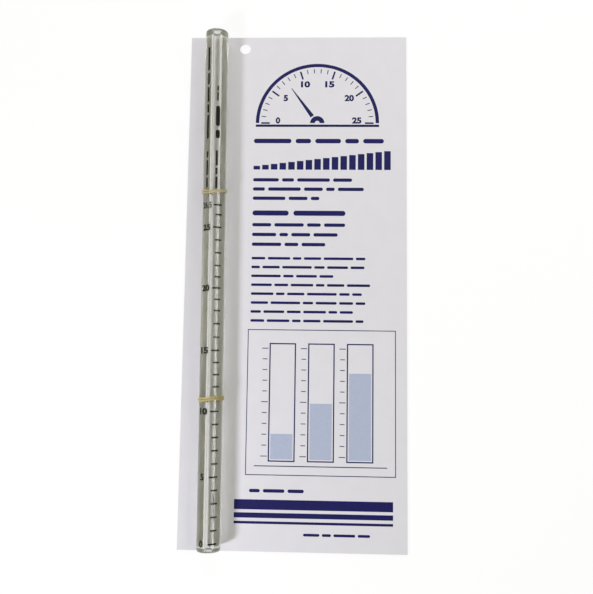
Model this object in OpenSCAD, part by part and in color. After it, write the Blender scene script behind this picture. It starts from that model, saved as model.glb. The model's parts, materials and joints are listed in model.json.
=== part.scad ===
// Dip-tube fuel gauge on its instruction card.
// The card lies face up: +X to the right, +Y to its top edge, +Z out of its printed face.
// The origin is the middle of the footprint, on the surface that the bands rest on.

/* [Card] */
// Width of the card
card_w = 127; // [100:0.5:160]
// Height of the card
card_h = 295.3; // [260:0.1:340]
// Thickness of the card stock
card_t = 0.5; // [0.3:0.05:1.2]
// Diameter of the punched hang hole
hang_hole_d = 6.35; // [4:0.05:9]
// Left edge of the card to the middle of the hang hole
hang_hole_side = 32.1; // [28:0.1:90]
// Top edge of the card to the middle of the hang hole
hang_hole_drop = 6.9; // [5.5:0.1:20]

/* [Tube] */
// Outside diameter of the tube
tube_d = 13; // [10:0.05:16]
// Diameter of the bore
tube_bore_d = 4; // [2.5:0.05:8]
// Length of the tube
tube_len = 292.1; // [270:0.1:330]
// Broken edge at both ends of the tube, inside and outside
tube_edge = 0.25; // [0.1:0.05:0.6]
// Left edge of the card to the tube's axis, at the middle of the card
tube_side = 17.55; // [14:0.05:20]
// Middle of the tube above the middle of the card
tube_rise = 0.6; // [-10:0.1:10]
// Turn of the tube in its bands, out of line with the card's edge
tube_lean = 0.48; // [-1:0.02:1]

/* [Scale] */
// Lower end of the tube to the empty mark
zero_mark = 4.6; // [2:0.1:12]
// Gallons at the full mark
full_gallons = 26.5; // [20:0.5:30]
// Rise for each gallon, up to 10 gallons
pitch_to_10 = 7; // [5:0.05:8]
// Rise for each gallon, from 10 to 15 gallons
pitch_to_15 = 6.6; // [5:0.05:8]
// Rise for each gallon, from 15 to 18 gallons
pitch_to_18 = 7.3; // [5:0.05:8]
// Rise for each gallon, from 18 to 22 gallons
pitch_to_22 = 6.25; // [5:0.05:8]
// Rise for each gallon, from 22 to 26 gallons
pitch_to_26 = 7.2; // [5:0.05:8]
// Rise for each gallon, in the filler neck above 26 gallons
pitch_in_neck = 11; // [6:0.1:14]
// Gallons between two long marks
long_mark_step = 5; // [2:1:10]
// Height of one printed mark
mark_h = 0.85; // [0.3:0.05:1.2]
// Thickness of the printed ink
ink_t = 0.04; // [0.03:0.01:0.08]
// Angle where every mark ends, from the top of the tube towards the right
mark_end = 48.5; // [30:0.5:80]
// Angle where a long mark starts
long_mark_start = 5; // [-60:0.5:10]
// Angle where a short mark starts
short_mark_start = 15; // [12:0.5:25]

/* [Bands] */
// Width of one strand of a rubber band
strand_w = 1.15; // [0.8:0.05:2]
// Thickness of a strand
strand_t = 0.6; // [0.4:0.05:1.6]
// Clearance of a band to the tube and to the card
band_gap = 0.15; // [0.1:0.01:0.3]
// Tube's axis to the middle of the slot that a band comes through
slot_side = 4.6; // [2:0.1:6]
// Upper band above the middle of the card
upper_band_y = 52.5; // [20:0.5:110]
// Lower band below the middle of the card
lower_band_y = 64.5; // [20:0.5:110]
// Spacing of the two strands of the upper band
upper_spread = 0.8; // [0.3:0.05:2]
// Spacing of the two strands of the lower band
lower_spread = 1.2; // [0.3:0.05:2]
// Slip of the upper band's front towards the lower end of the tube
upper_tip = 13; // [-20:0.5:20]
// Slip of the lower band's front towards the lower end of the tube
lower_tip = -3.5; // [-20:0.5:20]
// Rise of the upper band from left to right
upper_skew = 2; // [-8:0.5:8]
// Rise of the lower band from left to right
lower_skew = 5.5; // [-8:0.5:8]

/* [Hidden] */
$fn = 96;
cut_past = 1;

card_back = strand_t + band_gap;
card_face = card_back + card_t;

tube_r = tube_d / 2;
bore_r = tube_bore_d / 2;
loop_in_r = tube_r + band_gap;
loop_out_r = loop_in_r + strand_t;
tube_x = tube_side - card_w / 2;
tube_z = card_face + band_gap + loop_out_r;

neck_t = 2 * strand_t;
loop_reach = 4 * loop_out_r;

// The tank isn't the same width all the way up, so the scale runs in zones of even pitch.
zone_tops = [10, 15, 18, 22, 26, full_gallons];
zone_pitches = [pitch_to_10, pitch_to_15, pitch_to_18, pitch_to_22, pitch_to_26, pitch_in_neck];
whole_gallons = [for (gallons = [0:1:floor(full_gallons)]) gallons];
marks = full_gallons > floor(full_gallons) ? concat(whole_gallons, [full_gallons]) : whole_gallons;

function total(list, count) = count == 0 ? 0 : list[count - 1] + total(list, count - 1);
function zone_base(zone) = zone == 0 ? 0 : zone_tops[zone - 1];
function zone_rise(gallons, zone) =
    max(0, min(gallons, zone_tops[zone]) - zone_base(zone)) * zone_pitches[zone];
function mark_height(gallons) =
    zero_mark + total([for (zone = [0:len(zone_tops) - 1]) zone_rise(gallons, zone)], len(zone_tops));
function is_long(gallons) = gallons == full_gallons || gallons % long_mark_step == 0;

// Places its children on the tube's axis, with +Y along the tube.
module at_tube() {
    translate([tube_x, tube_rise, tube_z])
        rotate([0, 0, tube_lean])
            children();
}

// Turns a shape that stands on +Z so that it lies along +Y.
module along_tube() {
    rotate([-90, 0, 0])
        children();
}

// Places its children on the tube's axis at a height on the card, turned as the band is.
module at_band(height, skew) {
    at_tube()
        translate([0, height - tube_rise, 0])
            rotate([0, 0, skew])
                children();
}

// The two slots that a band's strands go through, one on each side of the tube.
module band_slots(height, skew, spread) {
    at_band(height, skew)
        for (side = [-1, 1])
            translate([side * slot_side, side * spread / 2, card_face - tube_z - card_t / 2])
                cube([neck_t + 2 * band_gap, strand_w + 2 * band_gap, card_t + 2 * cut_past], center = true);
}

module instruction_card() {
    color([0.84, 0.84, 0.87])
        difference() {
            translate([-card_w / 2, -card_h / 2, card_back])
                cube([card_w, card_h, card_t]);
            translate([hang_hole_side - card_w / 2, card_h / 2 - hang_hole_drop, card_back - cut_past])
                cylinder(d = hang_hole_d, h = card_t + 2 * cut_past);
            band_slots(upper_band_y, upper_skew, upper_spread);
            band_slots(-lower_band_y, lower_skew, lower_spread);
        }
}

// Half section of the tube's wall, with its edges broken at both ends.
module wall_section() {
    polygon([
        [bore_r, tube_edge],
        [bore_r + tube_edge, 0],
        [tube_r - tube_edge, 0],
        [tube_r, tube_edge],
        [tube_r, tube_len - tube_edge],
        [tube_r - tube_edge, tube_len],
        [bore_r + tube_edge, tube_len],
        [bore_r, tube_len - tube_edge]
    ]);
}

module gauge_tube() {
    color([0.80, 0.83, 0.78, 0.45])
        at_tube()
            translate([0, -tube_len / 2, 0])
                along_tube()
                    rotate_extrude()
                        wall_section();
}

// One printed mark, an arc of ink on the outside of the tube.
module mark(start) {
    rotate([0, 0, start - 90])
        rotate_extrude(angle = mark_end - start)
            translate([tube_r, -mark_h / 2])
                square([ink_t, mark_h]);
}

module scale_marks() {
    color([0.09, 0.09, 0.08])
        at_tube()
            for (gallons = marks)
                translate([0, mark_height(gallons) - tube_len / 2, 0])
                    along_tube()
                        mark(is_long(gallons) ? long_mark_start : short_mark_start);
}

// Both end loops of one rubber band go round the tube. Each comes up through its own slot,
// and the strands between the slots lie across the back of the card.
module band(height, spread, tip, skew) {
    back_w = spread + strand_w;
    difference() {
        union() {
            for (side = [-1, 1])
                intersection() {
                    at_band(height, 0)
                        along_tube()
                            cylinder(r = loop_out_r, h = loop_reach, center = true);
                    at_band(height, skew)
                        rotate([tip, 0, 0])
                            translate([0, side * spread / 2, 0])
                                cube([loop_reach, strand_w, loop_reach], center = true);
                }
            at_band(height, skew) {
                for (side = [-1, 1])
                    translate([side * slot_side, side * spread / 2, -tube_z / 2])
                        cube([neck_t, strand_w, tube_z], center = true);
                translate([0, 0, strand_t / 2 - tube_z])
                    cube([2 * slot_side + neck_t, back_w, strand_t], center = true);
            }
        }
        at_band(height, 0)
            along_tube()
                cylinder(r = loop_in_r, h = 2 * loop_reach, center = true);
    }
}

module upper_band() {
    color([0.79, 0.72, 0.50])
        band(upper_band_y, upper_spread, upper_tip, upper_skew);
}

module lower_band() {
    color([0.75, 0.67, 0.42])
        band(-lower_band_y, lower_spread, lower_tip, lower_skew);
}

instruction_card();
gauge_tube();
scale_marks();
upper_band();
lower_band();
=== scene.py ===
import itertools
import json
import math

import bmesh
import bpy
from mathutils import Euler, Matrix, Vector


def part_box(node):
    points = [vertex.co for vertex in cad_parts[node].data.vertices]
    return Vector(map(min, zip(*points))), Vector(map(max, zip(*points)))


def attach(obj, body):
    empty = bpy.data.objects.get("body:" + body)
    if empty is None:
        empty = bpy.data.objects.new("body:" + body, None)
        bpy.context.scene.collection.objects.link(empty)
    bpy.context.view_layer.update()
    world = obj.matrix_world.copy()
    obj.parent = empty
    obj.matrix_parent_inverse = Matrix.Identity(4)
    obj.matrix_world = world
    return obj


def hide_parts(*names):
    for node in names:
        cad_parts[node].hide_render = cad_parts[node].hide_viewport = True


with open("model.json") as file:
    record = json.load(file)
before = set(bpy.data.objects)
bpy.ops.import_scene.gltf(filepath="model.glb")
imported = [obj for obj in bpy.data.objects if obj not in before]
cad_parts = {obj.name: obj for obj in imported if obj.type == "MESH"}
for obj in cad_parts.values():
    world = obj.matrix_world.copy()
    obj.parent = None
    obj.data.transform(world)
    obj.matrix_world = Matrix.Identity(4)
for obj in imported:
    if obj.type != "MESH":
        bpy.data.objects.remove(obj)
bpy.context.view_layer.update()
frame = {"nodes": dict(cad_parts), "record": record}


# The instruction card: one sheet of smooth uncoated bristol board, guillotined square.
# A round hole is punched near its top edge. Each band comes up through two slots, one on each
# side of the tube, cut where the tube hides them.
MM = 0.001
merge_reach = 1e-7
card_low, card_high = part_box("instruction_card")
card_thick = card_high.z - card_low.z
card_face = card_high.z
mounts = {mount["name"]: mount for mount in frame["record"]["mounts"]}
hang_hole_mid = Vector(mounts["hang_hole"]["pos_m"])
hang_hole_radius = mounts["hang_hole"]["dims"]["r_mm"] * MM
hang_hole_sides = 96
tube_mid = Vector(mounts["tube_bore"]["pos_m"])
tube_along = Vector(mounts["tube_bore"]["axis"])
tube_across = tube_along.cross(Vector((0, 0, 1)))
tube_axes = Matrix((tube_across, tube_along, (0, 0, 1))).transposed()
to_tube = Matrix.Translation(tube_mid) @ tube_axes.to_4x4()
slot_reach = 4.6 * MM
slot_wide = 1.5 * MM
slot_high = 1.45 * MM
band_skew = {"upper_band": math.radians(2), "lower_band": math.radians(5.5)}
band_spread = {"upper_band": 0.8 * MM, "lower_band": 1.2 * MM}


def linear(hex_colour):
    """An sRGB hex colour as linear RGBA."""
    parts = [int(hex_colour[i:i + 2], 16) / 255 for i in (1, 3, 5)]
    return [c / 12.92 if c <= 0.04045 else ((c + 0.055) / 1.055) ** 2.4 for c in parts] + [1]


def add(material, kind, inputs=None, **settings):
    """Adds a node; an input takes a value, or another node's output."""
    node = material.node_tree.nodes.new(kind)
    for name, value in settings.items():
        setattr(node, name, value)
    for name, value in (inputs or {}).items():
        if isinstance(value, bpy.types.NodeSocket):
            material.node_tree.links.new(value, node.inputs[name])
        else:
            node.inputs[name].default_value = value
    return node


def new_material(name):
    """An empty node material and its output node."""
    material = bpy.data.materials.new(name)
    material.use_nodes = True
    material.node_tree.nodes.clear()
    return material, add(material, "ShaderNodeOutputMaterial")


def new_verts(made):
    """The vertices among what a bmesh operator made."""
    return [part for part in made["geom"] if isinstance(part, bmesh.types.BMVert)]


def loop_edges(bm, verts):
    """Closes a ring of new vertices with edges."""
    return [bm.edges.new((verts[i - 1], verts[i])) for i in range(len(verts))]


def piece(name, bm, material, body):
    """Turns a bmesh into a piece that rides on a body."""
    bmesh.ops.remove_doubles(bm, verts=bm.verts, dist=merge_reach)
    bmesh.ops.recalc_face_normals(bm, faces=bm.faces)
    mesh = bpy.data.meshes.new(name)
    bm.to_mesh(mesh)
    bm.free()
    mesh.materials.append(material)
    made = bpy.data.objects.new(name, mesh)
    bpy.context.scene.collection.objects.link(made)
    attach(made, body)
    return made


def to_band(node):
    """The frame of a band: on the tube's axis, x to the right, y up the tube, turned as the band is."""
    strap = [vert.co for vert in frame["nodes"][node].data.vertices if vert.co.z < card_low.z / 2]
    middle = to_tube.inverted() @ (sum(strap, Vector()) / len(strap))
    return to_tube @ Matrix.Translation((0, middle.y, 0)) @ Matrix.Rotation(band_skew[node], 4, "Z")


bm = bmesh.new()
sheet_corners = (
    (card_low.x, card_low.y), (card_high.x, card_low.y),
    (card_high.x, card_high.y), (card_low.x, card_high.y))
loop_edges(bm, [bm.verts.new((x, y, card_face)) for x, y in sheet_corners])
bmesh.ops.create_circle(
    bm, segments=hang_hole_sides, radius=hang_hole_radius,
    matrix=Matrix.Translation((hang_hole_mid.x, hang_hole_mid.y, card_face)))
for node, side in itertools.product(("upper_band", "lower_band"), (-1, 1)):
    slot_mid = Vector((side * slot_reach, side * band_spread[node] / 2, 0))
    slot_corners = [
        to_band(node) @ (slot_mid + Vector((i * slot_wide / 2, j * slot_high / 2, 0)))
        for i, j in ((-1, -1), (1, -1), (1, 1), (-1, 1))]
    loop_edges(bm, [bm.verts.new((corner.x, corner.y, card_face)) for corner in slot_corners])
bmesh.ops.triangle_fill(bm, edges=bm.edges[:], use_beauty=True)
bmesh.ops.recalc_face_normals(bm, faces=bm.faces)
underside = bmesh.ops.extrude_face_region(bm, geom=bm.faces[:])
bmesh.ops.translate(bm, vec=(0, 0, -card_thick), verts=new_verts(underside))

# Bristol board: matte, a cool lavender white, with a faint cloudy formation and a fine fibre tooth.
# The tooth is drawn coarser than real fibres are, so that it shows.
cloud_size = 9 * MM
tooth_size = 0.4 * MM
tooth_depth = 0.03 * MM
card_stock, out = new_material("bristol_board")
place = add(card_stock, "ShaderNodeTexCoord").outputs["Object"]
cloud = add(card_stock, "ShaderNodeTexNoise", {"Vector": place, "Scale": 1 / cloud_size, "Detail": 3})
tone = add(card_stock, "ShaderNodeMix", {
    "Factor": cloud.outputs["Fac"], "A": linear("#d6d4db"), "B": linear("#dcdae0")}, data_type="RGBA")
tooth = add(card_stock, "ShaderNodeTexNoise", {"Vector": place, "Scale": 1 / tooth_size, "Detail": 4})
relief = add(card_stock, "ShaderNodeBump", {
    "Height": tooth.outputs["Fac"], "Strength": 0.12, "Distance": tooth_depth})
board = add(card_stock, "ShaderNodeBsdfPrincipled", {
    "Base Color": tone.outputs["Result"], "Roughness": 0.75, "Specular IOR Level": 0.25,
    "Normal": relief.outputs["Normal"]})
card_stock.node_tree.links.new(board.outputs["BSDF"], out.inputs["Surface"])
card = piece("card_sheet", bm, card_stock, "card")
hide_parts("instruction_card")


# The card's print: one pass of navy offset ink on the sheet's face, with a grey-blue tint for the levels.
# Plain bars run in rows between a dial, a rising row of blocks, a panel of three tubes and a striped foot.
# It's laid out in millimetres from the middle of the card, and brought to size when it's laid down.
ink_film = 0.02
print_left = -25.3
round_end_sides = 16
half_ring_steps = 64
bar_gap = 0.9
least_bar = 2
bold_line = 0.05
bold_line_of_six = 0.03


def rectangle(bm, spot, wide, high, turn=0):
    """A flat rectangle round a spot, turned anticlockwise."""
    size = Matrix.Diagonal((wide, high, 1, 1))
    place = Matrix.Translation((spot[0], spot[1], 0)) @ Matrix.Rotation(turn, 4, "Z") @ size
    return bmesh.ops.create_grid(bm, x_segments=1, y_segments=1, size=0.5, matrix=place)["verts"]


def bar(bm, left, y, wide, high):
    """A flat bar with round ends."""
    radius = high / 2
    turn = Matrix.Rotation(math.pi / round_end_sides, 4, "Z")
    ends = bmesh.ops.create_circle(
        bm, cap_ends=True, segments=round_end_sides, radius=radius,
        matrix=Matrix.Translation((left + radius, y, 0)) @ turn)["verts"]
    far_end = [vert for vert in ends if vert.co.x > left + radius]
    bmesh.ops.translate(bm, vec=(wide - high, 0, 0), verts=far_end)


def bar_row(bm, left, right, y, high, lengths, first=0):
    """Bars of these lengths, taken in turn, that fill a row from its left edge to its right one."""
    x = left
    for wide in itertools.islice(itertools.cycle(lengths), first, None):
        if right - x < least_bar * high:
            break
        bar(bm, x, y, min(wide, right - x), high)
        x += wide + bar_gap * high


def outline_box(bm, left, right, low, high, line):
    """A rectangle drawn as a line of this width, with nothing inside it."""
    sheet = rectangle(bm, ((left + right) / 2, (low + high) / 2), right - left, high - low)
    inside = sheet[0].link_faces[:]
    bmesh.ops.inset_region(bm, faces=inside, thickness=line, use_boundary=True, use_even_offset=True)
    bmesh.ops.delete(bm, geom=inside, context="FACES")


def half_ring(bm, middle, inner, outer):
    """The upper half of a flat ring."""
    ends = [bm.verts.new(middle + Vector((radius, 0, 0))) for radius in (inner, outer)]
    bmesh.ops.spin(bm, geom=ends + [bm.edges.new(ends)], cent=middle, axis=(0, 0, 1),
                   angle=math.pi, steps=half_ring_steps)


def figures(bm, words, wide, high, place):
    """Plain bold numbers as flat faces of this size, centred, then put in place."""
    curve = bpy.data.curves.new("figures", "FONT")
    curve.body = words
    # The curl of a 6 closes up if its line grows as far as the others.
    curve.offset = bold_line_of_six if "6" in words else bold_line
    holder = bpy.data.objects.new("figures", curve)
    mesh = bpy.data.meshes.new_from_object(holder)
    bpy.data.objects.remove(holder)
    bpy.data.curves.remove(curve)
    low, top = ([pick(vert.co[i] for vert in mesh.vertices) for i in (0, 1)] for pick in (min, max))
    centre = Matrix.Translation((-(low[0] + top[0]) / 2, -(low[1] + top[1]) / 2, 0))
    size = Matrix.Diagonal((wide / (top[0] - low[0]), high / (top[1] - low[1]), 1, 1))
    mesh.transform(place @ size @ centre)
    bm.from_mesh(mesh)
    bpy.data.meshes.remove(mesh)


def lay_on_card(bm):
    """Gives flat print the thickness of its ink and lays it on the card's face."""
    bmesh.ops.remove_doubles(bm, verts=bm.verts, dist=merge_reach / MM)
    bmesh.ops.recalc_face_normals(bm, faces=bm.faces)
    top = bmesh.ops.extrude_face_region(bm, geom=bm.faces[:])
    bmesh.ops.translate(bm, vec=(0, 0, ink_film), verts=new_verts(top))
    bm.transform(Matrix.Translation((0, 0, card_face)) @ Matrix.Scale(MM, 4))


# The dial: a half ring with a tick for each gallon, a number at every fifth one, a needle and a base line.
dial_mid = Vector((11.6, 95.5, 0))
dial_radius, dial_line = 36, 2
dial_top, number_step = 25, 5
tick_gap = 3.2
long_tick, short_tick = (5, 1), (2.6, 0.5)
number_reach, number_lift = 23, Vector((0, 1.6, 0))
number_high = 3.8
number_wide = {1: 2.6, 2: 5.4}
needle_turn = math.radians(126)
needle_reach, needle_long, needle_wide = 15.5, 21, 2.4
needle_taper = 0.85
hub_inner, hub_outer = 1.4, 4.2
base_drop, base_line = Vector((0, 1.6, 0)), 1.4

bm = bmesh.new()
half_ring(bm, dial_mid, dial_radius - dial_line, dial_radius)
for step in range(dial_top + 1):
    turn = math.pi * (1 - step / dial_top)
    way = Vector((math.cos(turn), math.sin(turn), 0))
    numbered = step % number_step == 0
    tick, tick_line = long_tick if numbered else short_tick
    rectangle(bm, dial_mid + (dial_radius - tick_gap - tick / 2) * way, tick, tick_line, turn)
    if numbered:
        words = str(step)
        spot = Matrix.Translation(dial_mid + number_reach * way + number_lift)
        figures(bm, words, number_wide[len(words)], number_high, spot)
needle_way = Vector((math.cos(needle_turn), math.sin(needle_turn), 0))
needle = rectangle(bm, dial_mid + needle_reach * needle_way, needle_long, needle_wide, needle_turn)
for vert in needle:
    along = (vert.co - dial_mid).dot(needle_way)
    if along > needle_reach:
        vert.co = vert.co.lerp(dial_mid + along * needle_way, needle_taper)
half_ring(bm, dial_mid, hub_inner, hub_outer)
rectangle(bm, dial_mid - base_drop, 2 * dial_radius, base_line)

# The rising row of blocks.
block_count, block_pitch, block_wide = 16, 5.05, 3.8
block_inset, block_foot = 2, 67.6
block_first, block_rise = 2.2, 0.6
for step in range(block_count):
    high = block_first + block_rise * step
    x = print_left + block_inset + block_pitch * step
    rectangle(bm, (x, block_foot + high / 2), block_wide, high)

# The rows of bars. Each line is a group of rows: its left edge, the height of its top row, the pitch of its
# rows, the height of its bars, their lengths in turn, by how many bars each row starts later in that turn,
# and the right edge of each row.
row_groups = (
    (print_left, 84.7, 0, 2.7, (22, 9, 15, 8, 12), 0, (56.3,)),
    (print_left, 61.5, 5.45, 2, (15, 7, 19, 11, 5), 1, (34, 43.1, 16.5)),
    (print_left, 41.9, 0, 3, (21, 30, 12), 0, (33.9,)),
    (print_left, 35, 5.7, 2, (11, 17, 8, 14, 5), 3, (28.3, 24, 17)),
    (print_left, 15.5, 5.12, 1.5, (8, 13, 5, 10, 17, 6, 12), 2, (40, 42, 24, 42.7, 38, 40, 33, 39)),
    (-24.1, -114.9, 0, 1.9, (6, 12, 9), 0, (8.2,)),
    (6.2, -138.3, 0, 1.5, (9, 5, 12), 0, (43,)),
)
for left, top_row, pitch, high, lengths, later, rights in row_groups:
    for i, right in enumerate(rights):
        bar_row(bm, left, right, top_row - pitch * i, high, lengths, later * i)

# The panel: three upright tubes with level marks beside them, on a base line in a thin frame.
panel_left, panel_right, panel_low, panel_high = -26.5, 57.2, -106.5, -25.3
panel_mid = (panel_left + panel_right) / 2
panel_line = 0.45
glass_low, glass_high, glass_wide, glass_line = -99, -33, 15, 0.7
glass_pitch = 21.85
glass_mids = [panel_mid + i * glass_pitch for i in (-1, 0, 1)]
mark_count, mark_pitch, mark_first, mark_gap = 11, 6, 3, 2.4
long_mark, short_mark, mark_line = 3.6, 2.6, 0.45
bench_drop, bench_wide, bench_line = 2.4, 74, 0.5
outline_box(bm, panel_left, panel_right, panel_low, panel_high, panel_line)
for glass_mid in glass_mids:
    glass_left = glass_mid - glass_wide / 2
    outline_box(bm, glass_left, glass_left + glass_wide, glass_low, glass_high, glass_line)
    for step in range(mark_count):
        mark = short_mark if step % number_step else long_mark
        rectangle(bm, (glass_left - mark_gap, glass_low + mark_first + mark_pitch * step), mark, mark_line)
rectangle(bm, (panel_mid, glass_low - bench_drop), bench_wide, bench_line)

# The striped foot: the middle and the height of each stripe.
foot_x, foot_wide = 11.65, 87.9
for y, high in ((-122.4, 5.4), (-128.2, 2.8), (-132.1, 1.4)):
    rectangle(bm, (foot_x, y), foot_wide, high)
lay_on_card(bm)

# Offset ink: a dense navy that soaks into the sheet, so it's matte and a little mottled.
mottle_size = 1.2 * MM
navy_ink, out = new_material("navy_offset_ink")
place = add(navy_ink, "ShaderNodeTexCoord").outputs["Object"]
mottle = add(navy_ink, "ShaderNodeTexNoise", {"Vector": place, "Scale": 1 / mottle_size, "Detail": 4})
tone = add(navy_ink, "ShaderNodeMix", {
    "Factor": mottle.outputs["Fac"], "A": linear("#0d0c49"), "B": linear("#1e1c60")}, data_type="RGBA")
coat = add(navy_ink, "ShaderNodeBsdfPrincipled", {
    "Base Color": tone.outputs["Result"], "Roughness": 0.6, "Specular IOR Level": 0.2})
navy_ink.node_tree.links.new(coat.outputs["BSDF"], out.inputs["Surface"])
piece("card_print", bm, navy_ink, "card")

# The levels in the three tubes, clear of their lines.
levels = (14, 31, 48)
level_clear = 0.6
level_inset = glass_line + level_clear
bm = bmesh.new()
for glass_mid, level in zip(glass_mids, levels):
    rectangle(bm, (glass_mid, glass_low + level_inset + level / 2), glass_wide - 2 * level_inset, level)
lay_on_card(bm)

# Tint screen: the same ink as dots so fine that the eye takes them for a flat grey blue.
# The dots are too fine to show, so a faint grain stands for them.
screen_grain = 0.8 * MM
tint_ink, out = new_material("tint_screen_ink")
place = add(tint_ink, "ShaderNodeTexCoord").outputs["Object"]
mottle = add(tint_ink, "ShaderNodeTexNoise", {"Vector": place, "Scale": 1 / screen_grain, "Detail": 5})
tone = add(tint_ink, "ShaderNodeMix", {
    "Factor": mottle.outputs["Fac"], "A": linear("#a2aac4"), "B": linear("#b4bbd0")}, data_type="RGBA")
coat = add(tint_ink, "ShaderNodeBsdfPrincipled", {
    "Base Color": tone.outputs["Result"], "Roughness": 0.7, "Specular IOR Level": 0.25})
tint_ink.node_tree.links.new(coat.outputs["BSDF"], out.inputs["Surface"])
piece("card_tint", bm, tint_ink, "card")


# The gauge tube: stock extruded acrylic, thick walled, sawn square with its edges broken.
# It's clear with a faint olive cast, and nothing but the two bands holds it on the card.
tube_low, tube_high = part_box("gauge_tube")
tube_radius = (tube_high.z - tube_low.z) / 2
bore_radius = mounts["tube_bore"]["dims"]["r_mm"] * MM
tube_edge = 0.25 * MM
tube_half = mounts["tube_bore"]["dims"]["length_mm"] * MM / 2 + tube_edge
tube_sides = 160
sharp_edge = math.radians(30)

bm = bmesh.new()
section = []
for radius, edge in ((bore_radius, tube_edge), (tube_radius, -tube_edge)):
    corners = [(radius + edge, -tube_half), (radius, -tube_half + tube_edge),
               (radius, tube_half - tube_edge), (radius + edge, tube_half)]
    section.append([bm.verts.new((x, y, 0)) for x, y in corners])
wall = loop_edges(bm, section[0] + section[1][::-1])
bmesh.ops.spin(bm, geom=wall + section[0] + section[1], cent=(0, 0, 0), axis=(0, 1, 0),
               angle=2 * math.pi, steps=tube_sides, use_merge=True)
bmesh.ops.remove_doubles(bm, verts=bm.verts, dist=merge_reach)
bmesh.ops.recalc_face_normals(bm, faces=bm.faces)
# The sawn faces are the ends and their broken edges, which face along the tube more than across it.
sawn = bm.faces.layers.float.new("sawn")
for face in bm.faces:
    face.smooth = True
    face[sawn] = abs(face.normal.y) > 0.5
for edge in bm.edges:
    edge.smooth = len(edge.link_faces) == 2 and edge.calc_face_angle() < sharp_edge
bm.transform(to_tube)

# Acrylic: drawn glassy, so the eye sees the bent picture of the card through it, under dull reflections.
# Its thickness soaks up a little light and leaves an olive cast. Where it's sawn it's frosted,
# so light catches on it and little comes through.
acrylic, out = new_material("clear_acrylic")
sawn_ends = add(acrylic, "ShaderNodeAttribute", attribute_name="sawn").outputs["Fac"]
frost = add(acrylic, "ShaderNodeMapRange", {"Value": sawn_ends, "To Min": 0.02, "To Max": 0.5})
saw_grey = add(acrylic, "ShaderNodeMix", {
    "Factor": sawn_ends, "A": linear("#ffffff"), "B": linear("#d4d8d8")}, data_type="RGBA")
through = add(acrylic, "ShaderNodeMapRange", {"Value": sawn_ends, "To Min": 1, "To Max": 0.3})
clear = add(acrylic, "ShaderNodeBsdfPrincipled", {
    "Base Color": saw_grey.outputs["Result"], "Roughness": frost.outputs["Result"], "IOR": 1.49,
    "Transmission Weight": through.outputs["Result"], "Specular Tint": linear("#404038")})
acrylic.node_tree.links.new(clear.outputs["BSDF"], out.inputs["Surface"])
cast = add(acrylic, "ShaderNodeVolumeAbsorption", {"Color": linear("#e5e795"), "Density": 16})
acrylic.node_tree.links.new(cast.outputs["Volume"], out.inputs["Volume"])
tube = piece("clear_tube", bm, acrylic, "tube")
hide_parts("gauge_tube")


# The scale: marks and figures screen printed in black on the outside of the tube.
# The long marks stand at every fifth gallon and at the full mark, with the figure to their left.
# The frame has the marks already, so they only take the ink, and give the figures their heights.
marks = frame["nodes"]["scale_marks"]
mark_spots = [to_tube.inverted() @ vert.co for vert in marks.data.vertices]
start_slack = math.radians(1)
long_start = min(math.atan2(spot.x, spot.z) for spot in mark_spots) + start_slack
long_spots = [spot.y for spot in mark_spots if math.atan2(spot.x, spot.z) < long_start]
long_marks_apart = 2 * MM
gallons = ("0", "5", "10", "15", "20", "25", "26.5")
figure_turn = math.radians(-30.5)
figure_high = 3.6 * MM
figure_wide = {1: 2.4 * MM, 2: 5.2 * MM, 4: 6.2 * MM}
ink_thick = 0.04 * MM
bend_step = 0.4 * MM


def middles(heights, apart):
    """The middle of each group among heights, where groups lie this far apart."""
    groups = []
    for height in sorted(heights):
        if groups and height - groups[-1][-1] < apart:
            groups[-1].append(height)
        else:
            groups.append([height])
    return [(group[0] + group[-1]) / 2 for group in groups]


def onto_tube(bm):
    """Bends flat ink round the tube: x runs to the right from the tube's top line, y up the tube."""
    bmesh.ops.remove_doubles(bm, verts=bm.verts, dist=merge_reach)
    bends = int(tube_radius * math.pi / 2 / bend_step)
    for bend in range(-bends, bends + 1):
        bmesh.ops.bisect_plane(bm, geom=bm.verts[:] + bm.edges[:] + bm.faces[:],
                               plane_co=(bend * bend_step, 0, 0), plane_no=(1, 0, 0))
    bmesh.ops.recalc_face_normals(bm, faces=bm.faces)
    outside = set(new_verts(bmesh.ops.extrude_face_region(bm, geom=bm.faces[:])))
    for vert in bm.verts:
        turn = vert.co.x / tube_radius
        radius = tube_radius + (ink_thick if vert in outside else 0)
        vert.co = (radius * math.sin(turn), vert.co.y, radius * math.cos(turn))
    bm.transform(to_tube)


bm = bmesh.new()
for words, height in zip(gallons, middles(long_spots, long_marks_apart)):
    spot = Matrix.Translation((figure_turn * tube_radius, height, 0))
    figures(bm, words, figure_wide[len(words)], figure_high, spot)
onto_tube(bm)

# Screen ink: a thin satin black, a shade greyer where the film is thin.
film_patch = 0.7 * MM
black_ink, out = new_material("black_screen_ink")
place = add(black_ink, "ShaderNodeTexCoord").outputs["Object"]
film = add(black_ink, "ShaderNodeTexNoise", {"Vector": place, "Scale": 1 / film_patch, "Detail": 3})
tone = add(black_ink, "ShaderNodeMix", {
    "Factor": film.outputs["Fac"], "A": linear("#080806"), "B": linear("#1a1a15")}, data_type="RGBA")
coat = add(black_ink, "ShaderNodeBsdfPrincipled", {
    "Base Color": tone.outputs["Result"], "Roughness": 0.6, "Specular IOR Level": 0.15})
black_ink.node_tree.links.new(coat.outputs["BSDF"], out.inputs["Surface"])
piece("scale_figures", bm, black_ink, "tube")
for slot in marks.material_slots:
    slot.material = black_ink


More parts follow.
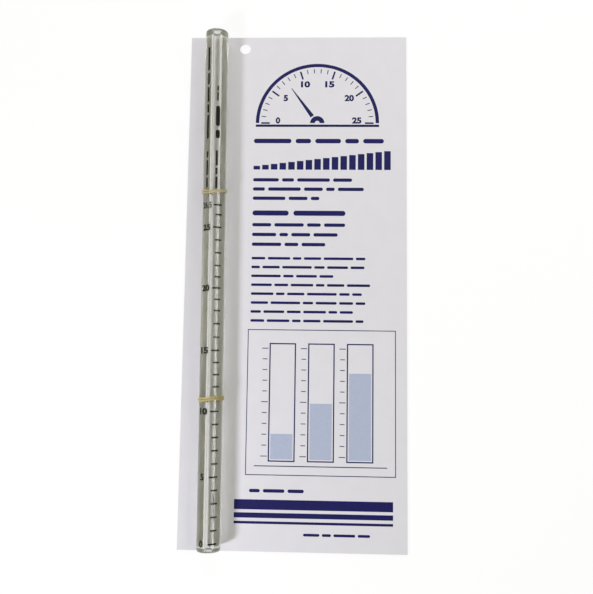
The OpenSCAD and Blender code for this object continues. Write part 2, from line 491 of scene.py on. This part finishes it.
# The upper print on the tube: two columns of plain bars up the tube above the scale, in the same ink.
# Each column reads along the tube, so its bars lie lengthwise. A row here is the angle of a bar group from
# the tube's top line, its width, its two ends above the tube's lower end, and its bar lengths.
columns = (
    (-33, 1.2, 198.7, 222, (6, 9, 4)),
    (-33, 1.4, 227, 281.6, (14, 5, 9, 7)),
    (17, 1.2, 198, 223, (7, 4, 9)),
    (20, 2.4, 227, 246, (5, 12)),
    (18, 0.9, 249, 260, (5, 3)),
)
upright = Matrix.Rotation(math.pi / 2, 4, "Z") @ Matrix.Scale(MM, 4)
bm = bmesh.new()
for turn, high, low_end, top_end, lengths in columns:
    start = len(bm.verts)
    bar_row(bm, low_end, top_end, 0, high, lengths)
    bm.verts.ensure_lookup_table()
    spot = Matrix.Translation((math.radians(turn) * tube_radius, -tube_half, 0))
    bmesh.ops.transform(bm, matrix=spot @ upright, verts=bm.verts[start:])
onto_tube(bm)
piece("upper_tube_print", bm, black_ink, "tube")


# The rubber bands: two plain stationery bands of natural rubber, each drawn across the back of the card
# and up through its slots. Each end loops once round the tube, so two strands lie side by side over it.
strand_thick = 0.6 * MM
neck_wide = 0.7 * MM
band_clear = 0.15 * MM
loop_radius = tube_radius + band_clear + strand_thick / 2
back_z = strand_thick / 2 - tube_mid.z
# Each band's last number is how far a painted shade browns it towards the right, away from the key lamp.
bands = {
    "upper_band": {"tip": math.radians(13), "left": 1.5 * MM, "right": 0.86 * MM, "wide": 0.85 * MM,
                   "colours": ("#ab9f7a", "#c2b696"), "right_shade": 0.12},
    "lower_band": {"tip": math.radians(-3.5), "left": 1.5 * MM, "right": 1.06 * MM, "wide": 1.05 * MM,
                   "colours": ("#a99b62", "#c4b682"), "right_shade": 0.3},
}
# Degrees from the tube's top line, from where a loop comes up out of its slot to where it goes down again.
loop_turns = range(120, -181, -6)
path_step = 0.3 * MM
path_roundings = 6
widening = 4 * MM
edge_turn = math.radians(50)
edge_onset = 6
strand_sides = 12
strand_squareness = 0.45


def over_tube(band, side, turn):
    """A point of the loop that comes up on one side, at an angle from the tube's top to the right."""
    spread = band["right"] + (band["left"] - band["right"]) * ((1 - math.sin(turn)) / 2) ** 2
    height = loop_radius * math.cos(turn)
    return Vector((loop_radius * math.sin(turn), side * spread / 2 - math.tan(band["tip"]) * height, height))


def strand_path(node):
    """The middle line of a band's strand, right round both loops and the back of the card."""
    corners = []
    for side in (1, -1):
        lane = side * neck_wide / 2
        slot_y = side * band_spread[node] / 2
        corners += [Vector((0, lane, back_z)), Vector((side * slot_reach, slot_y + lane, back_z))]
        corners += [over_tube(bands[node], side, side * math.radians(turn)) for turn in loop_turns]
        corners += [Vector((side * slot_reach, slot_y - lane, z)) for z in (-loop_radius, back_z)]
    path = []
    for start, end in zip(corners, corners[1:] + corners[:1]):
        steps = max(1, round((end - start).length / path_step))
        path += [start.lerp(end, i / steps) for i in range(steps)]
    for rounding in range(path_roundings):
        path = [(path[i - 1] + path[i] + path[(i + 1) % len(path)]) / 3 for i in range(len(path))]
    return path


def strand_place(path, i, wide):
    """Puts a ring of unit size across the strand at a point of its path.

    The strand widens from its neck onto the tube, and turns on its edge at the tube's left side.
    """
    way = (path[(i + 1) % len(path)] - path[i - 1]).normalized()
    across = (Vector((0, 1, 0)) - way * way.y).normalized()
    on_tube = min(1, max(0, (path[i].z + tube_radius) / widening))
    width = neck_wide + (wide - neck_wide) * on_tube
    on_left = max(0, -path[i].x / loop_radius) ** edge_onset
    on_edge = Matrix.Rotation(edge_turn * on_tube * on_left, 3, way)
    axes = Matrix((on_edge @ across * width / 2, on_edge @ across.cross(way) * strand_thick / 2, way))
    return Matrix.Translation(path[i]) @ axes.transposed().to_4x4()


def natural_rubber(name, dark, light, right_shade):
    """Natural rubber: matte tan, with a slight glow where light soaks in.

    It's streaked, and painted browner towards the right, a painted shade on the side away from the key lamp.
    """
    streak_size = 0.8 * MM
    rubber, out = new_material(name)
    place = add(rubber, "ShaderNodeTexCoord").outputs["Object"]
    streak = add(rubber, "ShaderNodeTexNoise", {"Vector": place, "Scale": 1 / streak_size, "Detail": 3})
    tone = add(rubber, "ShaderNodeMix", {
        "Factor": streak.outputs["Fac"], "A": linear(dark), "B": linear(light)}, data_type="RGBA")
    # Painted shade: the tone turns brown towards the tube's right side, away from the key lamp.
    across = add(rubber, "ShaderNodeSeparateXYZ", {"Vector": place}).outputs["X"]
    share = add(rubber, "ShaderNodeMapRange", {
        "Value": across, "From Min": tube_mid.x - tube_radius / 3, "From Max": tube_mid.x + tube_radius,
        "To Max": right_shade})
    tone = add(rubber, "ShaderNodeMix", {
        "Factor": share.outputs["Result"], "A": tone.outputs["Result"], "B": linear("#5c4f22")},
        data_type="RGBA")
    grain = add(rubber, "ShaderNodeBump", {
        "Height": streak.outputs["Fac"], "Strength": 0.2, "Distance": 0.05 * MM})
    skin = add(rubber, "ShaderNodeBsdfPrincipled", {
        "Base Color": tone.outputs["Result"], "Roughness": 0.55, "Subsurface Weight": 0.25,
        "Subsurface Scale": 0.4 * MM, "Subsurface Radius": (1, 0.8, 0.4), "Normal": grain.outputs["Normal"]})
    rubber.node_tree.links.new(skin.outputs["BSDF"], out.inputs["Surface"])
    return rubber


for node, band in bands.items():
    path = strand_path(node)
    bm = bmesh.new()
    bmesh.ops.create_circle(bm, segments=strand_sides, radius=1)
    for vert in bm.verts:
        vert.co = [math.copysign(abs(c) ** strand_squareness, c) for c in vert.co]
    first_ring = ring = bm.edges[:]
    here = strand_place(path, 0, band["wide"])
    bm.transform(here)
    for i in range(1, len(path)):
        there = strand_place(path, i, band["wide"])
        grown = bmesh.ops.extrude_edge_only(bm, edges=ring)
        ends = set(new_verts(grown))
        edges = [part for part in grown["geom"] if isinstance(part, bmesh.types.BMEdge)]
        ring = [edge for edge in edges if ends.issuperset(edge.verts)]
        bmesh.ops.transform(bm, matrix=there @ here.inverted(), verts=list(ends))
        here = there
    bmesh.ops.bridge_loops(bm, edges=first_ring + ring)
    for face in bm.faces:
        face.smooth = True
    bm.transform(to_band(node))
    rubber = natural_rubber(node + "_natural_rubber", *band["colours"], band["right_shade"])
    loops = piece(node.replace("band", "rubber_band"), bm, rubber, "card")
    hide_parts(node)


# The floor: a plain white sweep, far wider than the card, that the object's shadow falls on.
# To the camera it's mostly an even white glow, and past the reach of the drawn tube it's nothing else.
# Through the acrylic that glow is dimmed, a painted shade on what shows inside the tube.
floor_half = 20
shadow_reach, white_reach = 0.45, 0.9
glow_share = 0.85
painted_shade_through_acrylic = 0.38
bm = bmesh.new()
bmesh.ops.create_grid(bm, x_segments=1, y_segments=1, size=floor_half)
sweep_white, out = new_material("white_sweep")
matte = add(sweep_white, "ShaderNodeBsdfDiffuse", {"Color": linear("#fcfcfc")})
ray = add(sweep_white, "ShaderNodeLightPath").outputs
# Painted shade: the glow is dimmed where it's seen through the acrylic.
level = add(sweep_white, "ShaderNodeMath", {
    0: ray["Is Transmission Ray"], 1: -painted_shade_through_acrylic, 2: 1}, operation="MULTIPLY_ADD")
glow = add(sweep_white, "ShaderNodeEmission", {"Color": linear("#ffffff"), "Strength": level.outputs[0]})
seen = add(sweep_white, "ShaderNodeMath", {
    0: ray["Is Camera Ray"], 1: ray["Is Glossy Ray"]}, operation="MAXIMUM")
seen = add(sweep_white, "ShaderNodeMath", {
    0: seen.outputs[0], 1: ray["Is Transmission Ray"]}, operation="MAXIMUM")
place = add(sweep_white, "ShaderNodeTexCoord").outputs["Object"]
away = add(sweep_white, "ShaderNodeVectorMath", {0: place}, operation="LENGTH").outputs["Value"]
whiteness = add(sweep_white, "ShaderNodeMapRange", {
    "Value": away, "From Min": shadow_reach, "From Max": white_reach, "To Min": glow_share, "To Max": 1})
share = add(sweep_white, "ShaderNodeMath", {
    0: seen.outputs[0], 1: whiteness.outputs["Result"]}, operation="MULTIPLY")
blend = add(sweep_white, "ShaderNodeMixShader", {
    0: share.outputs[0], 1: matte.outputs[0], 2: glow.outputs[0]})
sweep_white.node_tree.links.new(blend.outputs[0], out.inputs["Surface"])
mesh = bpy.data.meshes.new("floor")
bm.to_mesh(mesh)
bm.free()
mesh.materials.append(sweep_white)
floor = bpy.data.objects.new("floor", mesh)
bpy.context.scene.collection.objects.link(floor)


# Studio light: a dim warm room, a round lamp low on the left below the card's foot,
# and two broad soft boxes, past the card's top edge and high on its right.
# The camera sees the room as white, and a little of that white shows through the acrylic.
white_through_acrylic = 0.12
world = bpy.data.worlds.new("white_room")
bpy.context.scene.world = world
world.use_nodes = True
world.node_tree.nodes.clear()
room = add(world, "ShaderNodeBackground", {"Color": linear("#f6ffa6"), "Strength": 0.13})
backdrop = add(world, "ShaderNodeBackground", {"Color": linear("#ffffff"), "Strength": 1})
ray = add(world, "ShaderNodeLightPath").outputs
seen = add(world, "ShaderNodeMath", {
    0: ray["Is Transmission Ray"], 1: white_through_acrylic, 2: ray["Is Camera Ray"]},
    operation="MULTIPLY_ADD")
blend = add(world, "ShaderNodeMixShader", {0: seen.outputs[0], 1: room.outputs[0], 2: backdrop.outputs[0]})
add(world, "ShaderNodeOutputWorld", {"Surface": blend.outputs[0]})


def soft_box(name, place, wide, power, colour):
    """A round lamp that faces the middle of the card."""
    lamp = bpy.data.lights.new(name, "AREA")
    lamp.shape = "DISK"
    lamp.size = wide
    lamp.energy = power
    lamp.color = linear(colour)[:3]
    holder = bpy.data.objects.new(name, lamp)
    holder.matrix_world = Matrix.Translation(place) @ place.to_track_quat("Z", "Y").to_matrix().to_4x4()
    bpy.context.scene.collection.objects.link(holder)


soft_box("key_lamp", Vector((-0.377, -0.374, 0.421)), wide=0.13, power=3.15, colour="#f5f5ff")
soft_box("top_box", Vector((0, 0.6, 0.4)), wide=0.6, power=3, colour="#fffbff")
soft_box("side_box", Vector((0.5, 0.1, 0.5)), wide=0.5, power=1.95, colour="#ffffff")


# The camera: above the lower half of the card, tipped a little towards its top edge.
# Its place is in millimetres and its turns in degrees, fitted to the card's corners and the tube's outline.
camera_place = Vector((13.5, -42.8, 374.8)) * MM
camera_turn = Euler([math.radians(a) for a in (5.52, 1.93, 0.59)], "ZYX")
lens = bpy.data.cameras.new("camera")
lens.sensor_fit = "HORIZONTAL"
lens.sensor_width = 36
lens.lens = 40
lens.clip_start = 0.01
camera = bpy.data.objects.new("camera", lens)
camera.matrix_world = Matrix.Translation(camera_place) @ camera_turn.to_matrix().to_4x4()
bpy.context.scene.collection.objects.link(camera)
bpy.context.scene.camera = camera
bpy.context.scene.view_settings.view_transform = "Standard"
